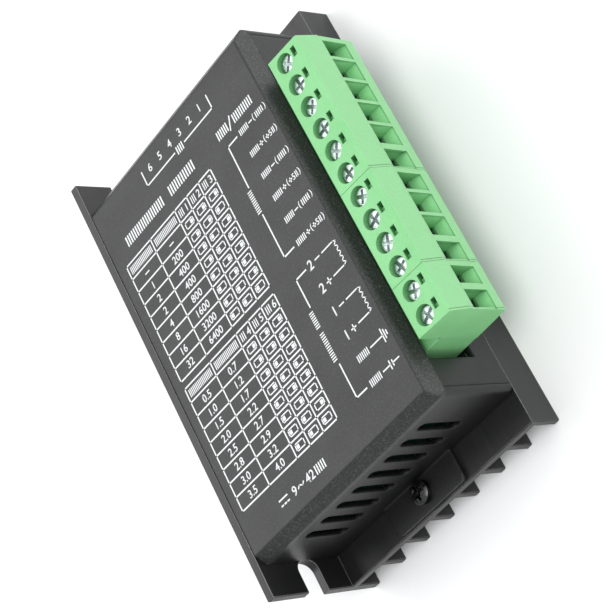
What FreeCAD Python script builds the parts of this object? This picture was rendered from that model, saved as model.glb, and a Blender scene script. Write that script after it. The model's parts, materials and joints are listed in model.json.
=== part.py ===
"""Stepper motor driver module: finned heat sink, folded cover, circuit board and plug-in terminals.

Millimetres, +Z up.  The module lies on its fin tips.  X runs from the mounting wall (-X) to the
screw terminals (+X), Y along the module, towards the switch end.  Sub-parts are drawn about the
middle of the heat sink and then moved by half the plugs' reach, so that the origin is under the
middle of the whole module's footprint.
"""

import FreeCAD, Part
import os
import re
import Sketcher

doc = FreeCAD.newDocument("stepper_driver_module")

# ----------------------------------------------------------------------------- driving dimensions
SIZES = {
    # heat sink extrusion
    "sink_length": 96.0,
    "sink_width": 56.0,
    "wall_height": 27.8,
    "wall_thick": 1.8,
    "base_top": 7.4,
    "base_thick": 1.7,
    "fin_pitch": 7.62,
    "fin_thick": 1.4,
    "sink_break": 0.2,
    "notch_width": 5.2,
    "notch_height": 16.2,
    "notch_inset": 4.4,
    # folded sheet cover
    "sheet": 1.0,
    "cover_half": 41.36,
    "wall_gap": 0.1,
    "end_bevel": 2.0,
    "side_bevel_run": 1.7,
    "side_bevel_drop": 3.05,
    "cover_corner": 1.2,
    "left_lip": 5.0,
    "left_break": 0.12,
    "seat_gap": 0.18,
    "fold_gap": 0.16,
    "fold_inset": 1.66,
    "vent_width": 2.4,
    "vent_length": 10.4,
    "vent_pitch": 4.9,
    "vent_middle": 0.8,
    "vent_height": 18.0,
    "tab_width": 20.0,
    "tab_reach": 6.25,
    "tab_screw_reach": 44.0,
    "door_low": 12.8,
    "door_high": 24.6,
    "door_half": 32.8,
    "window_width": 18.0,
    "window_low": 12.5,
    "window_tall": 10.0,
    # circuit board and what holds it
    "board_low": 10.6,
    "board_thick": 1.6,
    "board_half_length": 39.4,
    "board_left": -25.6,
    "board_right": 26.2,
    "post_left": -22.6,
    "post_right": 23.5,
    "post_reach": 35.8,
    "screw_radius": 1.5,
    "head_radius": 2.3,
    "head_rim": 0.9,
    "head_crown": 1.8,
    "dome_radius": 4.2,
    "recess_long": 3.3,
    "recess_wide": 0.75,
    "thread_play": 0.02,
    "clear_radius": 1.65,
    # pluggable terminals
    "pitch": 5.08,
    "plug_over": 0.05,
    "plug_spacing": 0.15,
    "plug_middle": -1.2,
    "plug_back": 30.6,
    "plug_front": 39.4,
    "plug_low": 13.2,
    "plug_top": 28.0,
    "plug_slope": 0.65,
    "brow_high": 22.4,
    "brow_back": 0.75,
    "brow_step": 0.15,
    "chin_back": 0.55,
    "plate_inset": 0.4,
    "plate_gap": 0.12,
    "plate_deep": 0.14,
    "mouth_low": 15.35,
    "mouth_high": 21.6,
    "mouth_half": 2.2,
    "tongue_tip": 20.5,
    "tongue_top": 22.7,
    "tongue_inset": 0.1,
    "screw_line": 33.95,
    "well_radius": 1.9,
    "clamp_head": 1.9,
    "clamp_shank": 1.25,
    "ledge_low": 24.4,
    "ledge_top": 24.9,
    "cage_low": 15.8,
    "cage_tall": 6.4,
    "cage_wall": 0.55,
    "cage_length": 4.0,
    "cage_width": 3.9,
    "bar_low": 20.0,
    "bar_thick": 0.5,
    "pin_height": 18.6,
    "pin_side": 1.0,
    "pin_tip": 24.8,
    "pin_heel": 15.0,
    "header_back": 17.0,
    "header_front": 26.5,
    "header_top": 23.45,
    # configuration switch
    "switch_middle": 2.5,
    "switch_pitch": 2.54,
    "switch_face": 40.2,
    "switch_depth": 5.8,
    "switch_width": 16.6,
    "switch_tall": 9.8,
    "slider_low": 15.45,
    # indicator lamps
    "lamp_first": 13.8,
    "lamp_pitch": 4.5,
    "lamp_height": 16.5,
    "lamp_radius": 1.5,
}

sheet = doc.addObject("Spreadsheet::Sheet", "Sizes")
for row, (alias, value) in enumerate(SIZES.items(), start=1):
    sheet.set(f"A{row}", alias)
    sheet.set(f"B{row}", str(value))
    sheet.setAlias(f"B{row}", alias)
doc.recompute()

# One plug for each group of terminals, from the switch end downwards: its name and its ways.
PLUGS = (("6way", 6), ("4way", 4), ("2way", 2))
WAYS = sum(ways for name, ways in PLUGS)
LAST_OF_UPPER = PLUGS[0][1] - 1
LAST_OF_MIDDLE = PLUGS[0][1] + PLUGS[1][1] - 1
FREE_FINS = 7
VENTS = 8
SWITCHES = 6

# Objects that become files, in the order in which they are built.
subparts = []


# ----------------------------------------------------------------------------- drawing helpers
def bound(words):
    """An expression on the sheet: every word in it is the name of a cell."""
    return re.sub(r"[a-z][a-z_]+", r"Sizes.\g<0>", str(words))


def place(item, corner):
    """Bind an object's position to three expressions."""
    for axis, words in zip("xyz", corner):
        item.setExpression(f"Placement.Base.{axis}", bound(words))
    return item


def box(name, corner, size):
    """A block from its lowest corner and its size along X, Y and Z."""
    block = doc.addObject("Part::Box", name)
    for side, words in zip(("Length", "Width", "Height"), size):
        block.setExpression(side, bound(words))
    return place(block, corner)


def rod(name, foot, radius, length, axis="Z"):
    """A cylinder that starts at foot and runs along +X, +Y or +Z."""
    turns = {
        "X": FreeCAD.Rotation(FreeCAD.Vector(0, 1, 0), 90),
        "Y": FreeCAD.Rotation(FreeCAD.Vector(1, 0, 0), -90),
        "Z": FreeCAD.Rotation(),
    }
    cylinder = doc.addObject("Part::Cylinder", name)
    cylinder.setExpression("Radius", bound(radius))
    cylinder.setExpression("Height", bound(length))
    cylinder.Placement = FreeCAD.Placement(FreeCAD.Vector(), turns[axis])
    return place(cylinder, foot)


def joined(name, pieces):
    """One object fused from several."""
    if len(pieces) == 1:
        return pieces[0]
    fuse = doc.addObject("Part::MultiFuse", name)
    fuse.Shapes = pieces
    fuse.Refine = True
    return fuse


def grouped(name, pieces):
    """Several separate solids kept as one group."""
    group = doc.addObject("Part::Compound", name)
    group.Links = pieces
    return group


def cut(name, base, tools):
    """The base with every tool taken away."""
    result = doc.addObject("Part::Cut", name)
    result.Base = base
    result.Tool = joined(f"{name}_tools", tools)
    result.Refine = True
    return result


def common(name, first, second):
    """What two objects share."""
    result = doc.addObject("Part::Common", name)
    result.Base = first
    result.Tool = second
    return result


def new_body(name):
    return doc.addObject("PartDesign::Body", name)


def sketch_on(body, role, name):
    """An empty sketch on one of the body's own origin planes."""
    sketch = body.newObject("Sketcher::SketchObject", name)
    plane = [item for item in body.Origin.OriginFeatures if item.Role == role][0]
    sketch.AttachmentSupport = (plane, [""])
    sketch.MapMode = "FlatFace"
    return sketch


def outline(body, role, corners):
    """A closed outline of straight lines, each corner held by two expressions."""
    sketch = sketch_on(body, role, f"{body.Name}_outline")
    count = len(corners)
    start = FreeCAD.Vector(10, 0, 0)
    spin = FreeCAD.Rotation(FreeCAD.Vector(0, 0, 1), 360 / count)
    for _ in corners:
        end = spin.multVec(start)
        sketch.addGeometry(Part.LineSegment(start, end))
        start = end
    for line in range(count):
        sketch.addConstraint(Sketcher.Constraint("Coincident", line, 2, (line + 1) % count, 1))
    for line, corner in enumerate(corners):
        for kind, words in zip(("DistanceX", "DistanceY"), corner):
            number = sketch.addConstraint(Sketcher.Constraint(kind, -1, 1, line, 1, 1.0))
            sketch.setExpression(f"Constraints[{number}]", bound(words))
    return sketch


def pad(body, sketch, length, symmetric=False):
    """Extrude a sketch in its body, one way or both ways from its plane."""
    feature = body.newObject("PartDesign::Pad", f"{body.Name}_pad")
    feature.Profile = sketch
    feature.SideType = "Symmetric" if symmetric else "One side"
    feature.setExpression("Length", bound(length))
    doc.recompute()
    return feature


def prism(name, role, corners, length):
    """A body extruded both ways from an origin plane."""
    body = new_body(name)
    pad(body, outline(body, role, corners), length, symmetric=True)
    return body


def broken_edges(name, base, size, wanted):
    """A chamfer on the edges that the test picks out."""
    doc.recompute()
    chamfer = doc.addObject("Part::Chamfer", name)
    chamfer.Base = base
    chosen = [n for n, edge in enumerate(base.Shape.Edges, start=1) if wanted(edge)]
    chamfer.Edges = [(number, size, size) for number in chosen]
    return chamfer


def rounded_edges(name, base, radius, wanted):
    """A fillet on the edges that the test picks out."""
    doc.recompute()
    fillet = doc.addObject("Part::Fillet", name)
    fillet.Base = base
    chosen = [n for n, edge in enumerate(base.Shape.Edges, start=1) if wanted(edge)]
    fillet.Edges = [(number, radius, radius) for number in chosen]
    return fillet


def runs_along(edge, axis):
    """True for a straight edge parallel to an axis given as 0, 1 or 2 for X, Y or Z."""
    if not isinstance(edge.Curve, Part.Line):
        return False
    return abs(edge.Curve.Direction[axis]) > 0.9999


def finish(item, node, along="0", up="0"):
    """Name an object as a sub-part and put it where it belongs in the module."""
    item.Label = node
    place(item, ("-(plug_front - sink_width / 2) / 2", along, up))
    subparts.append(item)
    return item


# ----------------------------------------------------------------------------- heat sink
def heat_sink():
    """The extrusion: mounting wall, base plate and fins, with open notches and tapped holes."""
    under = "base_top - base_thick"
    left = "-sink_width / 2"
    inner = "-sink_width / 2 + wall_thick"
    corners = [(left, "0"), (inner, "0"), (inner, under)]
    for fin in reversed(range(FREE_FINS)):
        right = f"sink_width / 2 - {fin} * fin_pitch"
        corners += [(f"{right} - fin_thick", under), (f"{right} - fin_thick", "0"), (right, "0")]
        if fin:
            corners.append((right, under))
    corners += [("sink_width / 2", "base_top"), (inner, "base_top")]
    corners += [(inner, "wall_height"), (left, "wall_height")]
    profile = prism("sink_profile", "XZ_Plane", corners, "sink_length")

    def saw_cut(edge):
        box_of = edge.BoundBox
        return box_of.YLength < 1e-6 and abs(abs(box_of.Center.y) - SIZES["sink_length"] / 2) < 1e-6

    bar = broken_edges("sink_bar", profile, SIZES["sink_break"], saw_cut)
    tools = []
    for end in (-1, 1):
        middle = f"{end} * (sink_length / 2 - notch_inset)"
        low = "notch_height - notch_width / 2"
        start = middle if end > 0 else "-sink_length / 2 - 1"
        run = ("wall_thick + 2", "notch_inset + 1", "notch_width")
        tools.append(box("notch_run", ("-sink_width / 2 - 1", start, low), run))
        foot = ("-sink_width / 2 - 1", middle, "notch_height")
        tools.append(rod("notch_end", foot, "notch_width / 2", "wall_thick + 2", axis="X"))
        tappings = [("0", f"{end} * tab_screw_reach", "0")]
        tappings += [(side, f"{end} * post_reach", "0") for side in ("post_left", "post_right")]
        tools += [rod("tapping", foot, "screw_radius", "base_top + 1") for foot in tappings]
    finish(cut("sink_cut", bar, tools), "heat_sink")


# ----------------------------------------------------------------------------- cover
def cover_form(name, top, right, end, left, bevel_inset):
    """The cover's outer or inner form, from a cross-section and a lengthwise section."""
    slope_x = f"{right} - side_bevel_run + {bevel_inset}"
    slope_z = f"{top} - side_bevel_drop + {bevel_inset}"
    across = [
        (left, "base_top"),
        (left, f"{top} - left_break"),
        (f"{left} + left_break", top),
        (slope_x, top),
        (right, slope_z),
        (right, "base_top"),
    ]
    along = [
        (f"-({end})", "base_top"),
        (f"-({end})", f"{top} - end_bevel + {bevel_inset}"),
        (f"-({end}) + end_bevel - {bevel_inset}", top),
        (f"{end} - end_bevel + {bevel_inset}", top),
        (end, f"{top} - end_bevel + {bevel_inset}"),
        (end, "base_top"),
    ]
    first = prism(f"{name}_across", "XZ_Plane", across, "sink_length")
    second = prism(f"{name}_along", "YZ_Plane", along, "sink_width * 2")
    return common(name, first, second)


def mounting_tab(end):
    """A foot folded out from an end wall onto the base plate."""
    edge = "cover_half - sheet" if end > 0 else "-cover_half - tab_reach"
    corner = ("-tab_width / 2", edge, "base_top")
    return box("mounting_tab", corner, ("tab_width", "tab_reach + sheet", "sheet"))


def vent(number):
    """A slot with round ends through the lower end wall."""
    across = f"vent_middle + {number - (VENTS - 1) / 2} * vent_pitch"
    straight = "vent_length - vent_width"
    low = f"vent_height - ({straight}) / 2"
    start = "-cover_half - 1"
    run = "sheet + 2"
    return [
        box("vent_run", (f"{across} - vent_width / 2", start, low), ("vent_width", run, straight)),
        rod("vent_foot", (across, start, low), "vent_width / 2", run, axis="Y"),
        rod("vent_head", (across, start, f"vent_height + ({straight}) / 2"), "vent_width / 2", run, axis="Y"),
    ]


def fold_line(end):
    """The thin gap where the side wall's fold meets the end wall's, below their bevelled folds."""
    wall = "sink_width / 2 - sheet - 0.2"
    line = f"{end} * (cover_half - fold_inset) - fold_gap / 2"
    tall = "wall_height - side_bevel_drop - base_top + 1"
    return box("fold_line", (wall, line, "base_top - 1"), ("sheet + 1", "fold_gap", tall))


def top_cover():
    """The folded sheet cover: top, side wall, two end walls with bevelled folds, and two feet."""
    left = "-sink_width / 2 + wall_thick + wall_gap"
    outer = cover_form("cover_outside", "wall_height", "sink_width / 2", "cover_half", left, "0")
    rounded = rounded_edges(
        "cover_rounded",
        outer,
        SIZES["cover_corner"],
        lambda edge: runs_along(edge, 2) and edge.BoundBox.Center.x > 0,
    )
    inner = cover_form(
        "cover_inside",
        "wall_height - sheet",
        "sink_width / 2 - sheet",
        "cover_half - sheet",
        f"{left} + sheet",
        "0.42 * sheet",
    )
    solid = joined("cover_feet", [rounded, mounting_tab(-1), mounting_tab(1)])
    end_inside = "2 * (cover_half - sheet)"
    lip_open = "wall_height - left_lip - base_top + 1"
    lip_corner = (f"{left} - 1", "-(cover_half - sheet)", "base_top - 1")
    tools = [
        inner,
        box("open_left", lip_corner, ("4", end_inside, lip_open)),
        box(
            "side_wall_seat",
            ("sink_width / 2 - sheet - 0.5", "-cover_half - 1", "base_top - 1"),
            ("sheet + 1.5", "2 * cover_half + 2", "seat_gap + 1"),
        ),
        box(
            "terminal_door",
            ("sink_width / 2 - sheet - 1", "plug_middle - door_half", "door_low"),
            ("sheet + 2", "2 * door_half", "door_high - door_low"),
        ),
        box(
            "switch_window",
            ("switch_middle - window_width / 2", "cover_half - sheet - 1", "window_low"),
            ("window_width", "sheet + 2", "window_tall"),
        ),
    ]
    for number in range(VENTS):
        tools += vent(number)
    for lamp in range(2):
        foot = (f"lamp_first + {lamp} * lamp_pitch", "cover_half - sheet - 1", "lamp_height")
        tools.append(rod("lamp_hole", foot, "lamp_radius + 0.2", "sheet + 2", axis="Y"))
    for end in (-1, 1):
        tools.append(fold_line(end))
        foot = ("0", f"{end} * tab_screw_reach", "base_top - 1")
        tools.append(rod("tab_hole", foot, "clear_radius", "sheet + 2"))
    cut_cover = cut("cover_cut", solid, tools)

    def tab_corner(edge):
        middle = edge.BoundBox.Center
        return runs_along(edge, 2) and abs(middle.y) > SIZES["cover_half"] + 1 and abs(middle.x) > 5

    finish(rounded_edges("cover_done", cut_cover, 1.2, tab_corner), "top_cover")


# ----------------------------------------------------------------------------- machine screws
def pan_screw(name, foot, under_head, length):
    """A cross-recess pan-head screw standing on its tip's axis, with a plain shank for its thread."""
    x, y = foot
    shank = rod(f"{name}_shank", (x, y, f"{under_head} - {length}"), "screw_radius - thread_play", length)
    disc = rod(f"{name}_disc", (x, y, under_head), "head_radius", "head_rim")
    dome = doc.addObject("Part::Sphere", f"{name}_dome")
    dome.setExpression("Radius", bound("dome_radius"))
    place(dome, (x, y, f"{under_head} + head_crown - dome_radius"))
    crown = rod(f"{name}_crown", (x, y, f"{under_head} + head_rim / 2"), "head_radius", "head_crown")
    head = common(f"{name}_head", dome, crown)
    solid = joined(f"{name}_solid", [shank, disc, head])
    arms = []
    for long_x, long_y in (("recess_long", "recess_wide"), ("recess_wide", "recess_long")):
        corner = (f"{x} - {long_x} / 2", f"{y} - {long_y} / 2", f"{under_head} + 0.7")
        arms.append(box(f"{name}_arm", corner, (long_x, long_y, "3")))
    centre = doc.addObject("Part::Cone", f"{name}_centre")
    centre.Radius1 = 0.35
    centre.Radius2 = 1.3
    centre.Height = 2.0
    place(centre, (x, y, f"{under_head} + 0.2"))
    return cut(name, solid, arms + [centre])


def cover_screws():
    """The two screws that hold the cover's feet to the base plate."""
    pieces = []
    for number, end in enumerate((-1, 1), start=1):
        foot = ("0", f"{end} * tab_screw_reach")
        pieces.append(pan_screw(f"cover_screw_{number}", foot, "base_top + sheet", "5"))
    finish(grouped("cover_screw_pair", pieces), "cover_screws")


def post_places():
    """The four corners of the board where it is held."""
    return [(side, f"{end} * post_reach") for end in (-1, 1) for side in ("post_left", "post_right")]


def board_screws():
    """The four screws through the board and its spacers into the base plate."""
    pieces = []
    for number, foot in enumerate(post_places(), start=1):
        pieces.append(pan_screw(f"board_screw_{number}", foot, "board_low + board_thick", "8"))
    finish(grouped("board_screw_set", pieces), "board_screws")


def board_standoffs():
    """Four hexagonal spacers between the base plate and the board."""
    pieces = []
    for number, (x, y) in enumerate(post_places(), start=1):
        hexagon = doc.addObject("Part::Prism", f"spacer_{number}_hexagon")
        hexagon.Polygon = 6
        hexagon.Circumradius = 3.1
        hexagon.setExpression("Height", bound("board_low - base_top"))
        place(hexagon, (x, y, "base_top"))
        through = "board_low - base_top + 2"
        bore = rod(f"spacer_{number}_bore", (x, y, "base_top - 1"), "clear_radius", through)
        pieces.append(cut(f"spacer_{number}", hexagon, [bore]))
    finish(grouped("spacer_set", pieces), "board_standoffs")


# ----------------------------------------------------------------------------- circuit board
BOARD_TOP = "board_low + board_thick"
CAPACITORS = ((-18.6, -27.0), (-7.9, -27.0))
CAPACITOR_LEADS = 2.5
COUPLERS = (24.0, 16.0, 8.0)
COUPLER_X = 7.6
COUPLER_LEADS = ((-3.81, -1.27), (-3.81, 1.27), (3.81, -1.27), (3.81, 1.27))


def way_along(way):
    """The place along Y of a terminal way, counted from the switch end."""
    spacings = 1 - (way > LAST_OF_UPPER) - (way > LAST_OF_MIDDLE)
    return f"plug_middle + {WAYS / 2 - 0.5 - way} * pitch + {spacings} * plug_spacing"


def switch_pin_places():
    """Two rows of pins under the switch block."""
    places = []
    for number in range(SWITCHES):
        across = f"switch_middle + {number - (SWITCHES - 1) / 2} * switch_pitch"
        places += [(across, "switch_face - 4.7"), (across, "switch_face - 2.16")]
    return places


def circuit_board():
    """The board with holes for its screws and for every lead that passes through it."""
    body = new_body("board_blank")
    half = "board_half_length"
    corners = [
        ("board_left", f"-{half}"),
        ("board_right", f"-{half}"),
        ("board_right", half),
        ("board_left", half),
    ]
    pad(body, outline(body, "XY_Plane", corners), "board_thick")
    place(body, ("0", "0", "board_low"))
    holes = [(place_of, "clear_radius") for place_of in post_places()]
    holes += [(("pin_heel + pin_side / 2", way_along(way)), "0.8") for way in range(WAYS)]
    holes += [(place_of, "0.45") for place_of in switch_pin_places()]
    for x, y in CAPACITORS:
        holes += [((x, y + side * CAPACITOR_LEADS), "0.5") for side in (-1, 1)]
    for y in COUPLERS:
        holes += [((COUPLER_X + dx, y + dy), "0.45") for dx, dy in COUPLER_LEADS]
    for lamp in range(2):
        for side in (-1.27, 1.27):
            holes.append(((f"lamp_first + {lamp} * lamp_pitch + {side}", "33.25"), "0.5"))
    through = "board_thick + 2"
    tools = [rod("board_hole", (x, y, "board_low - 1"), radius, through) for (x, y), radius in holes]
    finish(cut("board_drilled", body, tools), "circuit_board")


def driver_chip():
    """The power chip under the board, its gull-wing leads and the pad that joins it to the base plate."""
    middle_x, middle_y, long_x, wide_y = -4.0, 6.0, 10.0, 16.0
    low = "board_low - 2.2"
    corner = (middle_x - long_x / 2, middle_y - wide_y / 2, low)
    block = box("chip_block", corner, (long_x, wide_y, "2.2"))
    chip = broken_edges("chip_body", block, 0.3, lambda edge: runs_along(edge, 2))
    finish(chip, "driver_chip")
    pad_corner = (middle_x - long_x / 2 - 1, middle_y - wide_y / 2 - 1, "base_top")
    sheet_cut = box("pad_block", pad_corner, (long_x + 2, wide_y + 2, "board_low - base_top - 2.2"))
    finish(broken_edges("pad_sheet", sheet_cut, 0.5, lambda edge: runs_along(edge, 2)), "thermal_pad")
    leads = []
    for side in (-1, 1):
        for number in range(12):
            y = middle_y + (number - 5.5) * 1.2 - 0.2
            inner = middle_x + side * long_x / 2
            shoulder = inner if side > 0 else inner - 0.9
            foot = inner + 0.6 if side > 0 else inner - 1.8
            riser = inner + 0.6 if side > 0 else inner - 0.9
            leads.append(
                joined(
                    f"chip_lead_{'left' if side < 0 else 'right'}_{number + 1}",
                    [
                        box("lead_shoulder", (shoulder, y, "board_low - 1.2"), ("0.9", "0.4", "0.25")),
                        box("lead_riser", (riser, y, "board_low - 1.2"), ("0.3", "0.4", "1.2")),
                        box("lead_foot", (foot, y, "board_low - 0.25"), ("1.2", "0.4", "0.25")),
                    ],
                )
            )
    finish(grouped("chip_lead_set", leads), "chip_leads")


def bulk_capacitor(number, x, y):
    """An upright electrolytic capacitor: rolled can with a crimp groove, and two leads."""
    can = rod("can", (x, y, BOARD_TOP), "5", "12.5")
    ring = doc.addObject("Part::Torus", "crimp")
    ring.Radius1 = 5.15
    ring.Radius2 = 0.45
    place(ring, (x, y, f"{BOARD_TOP} + 1.9"))
    name = f"bulk_capacitor_{number}"
    grooved = cut(f"{name}_can", can, [ring])
    edged = rounded_edges(
        f"{name}_rounded",
        grooved,
        0.5,
        lambda edge: edge.BoundBox.ZLength < 1e-6 and edge.BoundBox.Center.z > 20,
    )
    leads = [
        rod("can_lead", (x, y + side * CAPACITOR_LEADS, "board_low - 0.9"), "0.3", "board_thick + 1.4")
        for side in (-1, 1)
    ]
    finish(joined(f"{name}_solid", [edged] + leads), name)


def power_inductor():
    """A shielded inductor with cut corners and a round winding window."""
    block = box("choke_block", (-2.0, -32.3, BOARD_TOP), ("12.4", "12.4", "6"))
    cornered = broken_edges("choke_cornered", block, 2.2, lambda edge: runs_along(edge, 2))
    groove = cut(
        "choke_groove",
        rod("choke_ring", (4.2, -26.1, f"{BOARD_TOP} + 5.4"), "4.9", "1"),
        [rod("choke_core", (4.2, -26.1, f"{BOARD_TOP} + 5"), "4.5", "2")],
    )
    finish(cut("choke_done", cornered, [groove]), "power_inductor")


def optocoupler(number, y):
    """A four-pin isolator for one input signal."""
    name = f"optocoupler_{number}"
    block = box("coupler_block", (COUPLER_X - 3.2, y - 2.3, f"{BOARD_TOP} + 0.6"), ("6.4", "4.6", "3.4"))
    pieces = [broken_edges(f"{name}_block", block, 0.25, lambda edge: runs_along(edge, 1))]
    for dx, dy in COUPLER_LEADS:
        edge = y + dy - 0.25
        inner = COUPLER_X + (dx + 0.25 if dx < 0 else 3.1)
        corner = (COUPLER_X + dx - 0.25, edge, "board_low - 0.8")
        pieces.append(box("coupler_leg", corner, ("0.5", "0.5", "4.6")))
        pieces.append(box("coupler_arm", (inner, edge, "board_low + 3.3"), ("0.46", "0.5", "0.5")))
    finish(joined(f"{name}_solid", pieces), name)


def voltage_regulator():
    """A surface-mount regulator with its metal tab and two legs."""
    x, y = -17.0, -6.0
    pieces = [
        box("regulator_block", (x - 3.3, y - 3.1, BOARD_TOP), ("6.6", "6.2", "2.3")),
        box("regulator_tab", (x - 2.7, y + 3.1, BOARD_TOP), ("5.4", "1.6", "0.55")),
        box("regulator_leg", (x - 2.7, y - 5.6, BOARD_TOP), ("0.8", "2.6", "0.5")),
        box("regulator_leg", (x + 1.9, y - 5.6, BOARD_TOP), ("0.8", "2.6", "0.5")),
    ]
    finish(joined("regulator_solid", pieces), "voltage_regulator")


def indicator_lamp(name, lamp):
    """A lamp on bent leads, with its dome inside a hole of the end wall."""
    x = f"lamp_first + {lamp} * lamp_pitch"
    dome = doc.addObject("Part::Sphere", f"{name}_dome")
    dome.setExpression("Radius", bound("lamp_radius"))
    place(dome, (x, "39.6", "lamp_height"))
    pieces = [
        rod(f"{name}_lens", (x, "35", "lamp_height"), "lamp_radius", "4.6", axis="Y"),
        rod(f"{name}_flange", (x, "34.6", "lamp_height"), "lamp_radius + 0.4", "1", axis="Y"),
        dome,
    ]
    for side in (-1.27, 1.27):
        edge = f"{x} + {side} - 0.25"
        pieces.append(box(f"{name}_arm", (edge, "33", "lamp_height - 0.25"), ("0.5", "1.8", "0.5")))
        leg = "lamp_height - board_low + 1.15"
        pieces.append(box(f"{name}_leg", (edge, "33", "board_low - 0.9"), ("0.5", "0.5", leg)))
    finish(joined(f"{name}_solid", pieces), name)


# ----------------------------------------------------------------------------- configuration switch
def slider_across(number):
    return f"switch_middle + {number - (SWITCHES - 1) / 2} * switch_pitch"


def dip_switch_housing():
    """The switch block, with a chamber and a slot in its face for each slider."""
    corner = ("switch_middle - switch_width / 2", "switch_face - switch_depth", BOARD_TOP)
    block = box("switch_block", corner, ("switch_width", "switch_depth", "switch_tall"))
    tools = []
    for number in range(SWITCHES):
        x = slider_across(number)
        chamber = (f"{x} - 0.95", "switch_face - 3.2", "slider_low - 1.15")
        tools.append(box("chamber", chamber, ("1.9", "2.4", "5.6")))
        tools.append(box("slot", (f"{x} - 0.6", "switch_face - 1", "slider_low - 0.05"), ("1.2", "2", "3.4")))
        tools.append(
            box("slot_dish", (f"{x} - 0.85", "switch_face - 0.3", "slider_low - 0.3"), ("1.7", "2", "3.9"))
        )
    finish(cut("switch_hollowed", block, tools), "dip_switch_housing")


def dip_switch_pins():
    """The switch block's pins, which pass through the board."""
    pins = [
        box(
            "switch_pin",
            (f"{x} - 0.25", f"{y} - 0.15", "board_low - 0.9"),
            ("0.5", "0.3", "board_thick + 0.9"),
        )
        for x, y in switch_pin_places()
    ]
    finish(grouped("switch_pin_set", pins), "dip_switch_pins")


def dip_slider(number):
    """One slider: a captive foot and the nub that stands out of the slot, drawn at the low end."""
    x = slider_across(number - 1)
    name = f"dip_slider_{number}"
    nub = box("nub", (f"{x} - 0.52", "switch_face - 1", "slider_low"), ("1.04", "1.8", "1.55"))
    soft_nub = broken_edges(
        f"{name}_nub",
        nub,
        0.15,
        lambda edge: edge.BoundBox.Center.y > SIZES["switch_face"] + 0.75,
    )
    foot = box("slider_foot", (f"{x} - 0.85", "switch_face - 3", "slider_low - 1"), ("1.7", "2.1", "3.4"))
    finish(joined(f"{name}_solid", [soft_nub, foot]), name)


# ----------------------------------------------------------------------------- pluggable terminals
def board_header(name, ways, first):
    """The socket on the board that a plug slides into, open towards the side wall and at its ends."""
    length = f"{ways} * pitch + plug_over"
    low = f"{way_along(first + ways - 1)} - pitch / 2 - plug_over / 2"
    depth = "header_front - header_back"
    shell = box("shell", ("header_back", low, BOARD_TOP), (depth, length, f"header_top - ({BOARD_TOP})"))
    floor = f"{BOARD_TOP} + 0.9"
    hollow = box(
        "hollow",
        ("header_back + 1.2", f"{low} - 1", floor),
        (depth, f"{length} + 2", f"header_top - 0.6 - ({floor})"),
    )
    tools = [hollow]
    for way in range(first, first + ways):
        corner = ("header_back - 1", f"{way_along(way)} - pin_side / 2", "pin_height - pin_side / 2")
        tools.append(box("pin_hole", corner, ("4", "pin_side", "pin_side")))
        corner = ("header_front - 3", f"{way_along(way)} - 0.9", "header_top - 1")
        tools.append(box("key_notch", corner, ("4", "1.8", "2")))
    finish(cut(f"header_{name}_shell", shell, tools), f"header_{name}")


def header_pins():
    """The twelve bent square pins: through the board, then forwards into the sockets."""

    def at_tip(edge):
        across = edge.BoundBox
        return across.XLength < 1e-6 and across.Center.x > SIZES["pin_tip"] - 0.01

    pins = []
    for way in range(WAYS):
        edge = f"{way_along(way)} - pin_side / 2"
        low = "pin_height - pin_side / 2"
        arm = box("pin_arm", ("pin_heel", edge, low), ("pin_tip - pin_heel", "pin_side", "pin_side"))
        drop = f"{low} - board_low + 1.6"
        leg = box("pin_leg", ("pin_heel", edge, "board_low - 1.5"), ("pin_side", "pin_side", drop))
        bent = joined(f"pin_{way + 1}_blank", [arm, leg])
        pins.append(broken_edges(f"pin_{way + 1}", bent, 0.2, at_tip))
    finish(grouped("pin_set", pins), "header_pins")


def wire_funnel(along, name, below, above):
    """A tapered wire entry: a wide mouth on the front face that narrows to the clamp."""
    tall = "mouth_high - mouth_low"
    mouth = box(
        f"{name}_mouth",
        ("plug_front - 0.8", f"{along} - {below}", "mouth_low"),
        ("1.5", f"{below} + {above}", tall),
    )
    throat = box(f"{name}_throat", ("screw_line + 2", f"{along} - 1.45", "16.6"), ("2.6", "2.9", "3.4"))
    taper = new_body(f"{name}_taper")
    sketches = []
    for lower, upper, low, high, reach in (
        (below, above, "mouth_low", "mouth_high", "plug_front - 0.75"),
        ("1.45", "1.45", "16.6", "20", "screw_line + 2.8"),
    ):
        corners = [(f"-({lower})", low), (upper, low), (upper, high), (f"-({lower})", high)]
        sketch = outline(taper, "YZ_Plane", corners)
        sketch.setExpression("AttachmentOffset.Base.z", bound(reach))
        sketches.append(sketch)
    loft = taper.newObject("PartDesign::AdditiveLoft", f"{name}_loft")
    loft.Profile = sketches[0]
    loft.Sections = [sketches[1]]
    loft.Ruled = True
    place(taper, ("0", along, "0"))
    return [mouth, throat, taper]


def way_hollows(along, name, below, above):
    """Everything that is open in a plug for one way: screw well, clamp chamber, contact run, entry."""
    socket_low = "pin_height - 1"
    tools = [
        rod("well", ("screw_line", along, "ledge_top"), "well_radius", "4"),
        rod("shank_hole", ("screw_line", along, "ledge_low - 1"), "1.3", "2"),
        box(
            "clamp_chamber",
            ("screw_line - 2.15", f"{along} - 2.05", "cage_low - 0.2"),
            ("4.4", "4.1", "ledge_low - cage_low + 0.2"),
        ),
        box("socket_run", ("tongue_tip - 1", f"{along} - 1.05", socket_low), ("8.1", "2.1", "3.05")),
        box(
            "bar_run",
            ("tongue_tip + 6", f"{along} - 1.25", "bar_low - 0.02"),
            ("6", "2.5", "bar_thick + 0.07"),
        ),
        box("test_slot", ("plug_front - 3.1", f"{along} - 0.55", "plug_top - 1.3"), ("1.07", "1.98", "2")),
        box("test_hole", ("plug_front - 3.1", f"{along} + 0.6", "plug_top - 2.6"), ("1.07", "0.83", "4")),
    ]
    return tools + wire_funnel(along, name, below, above)


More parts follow.
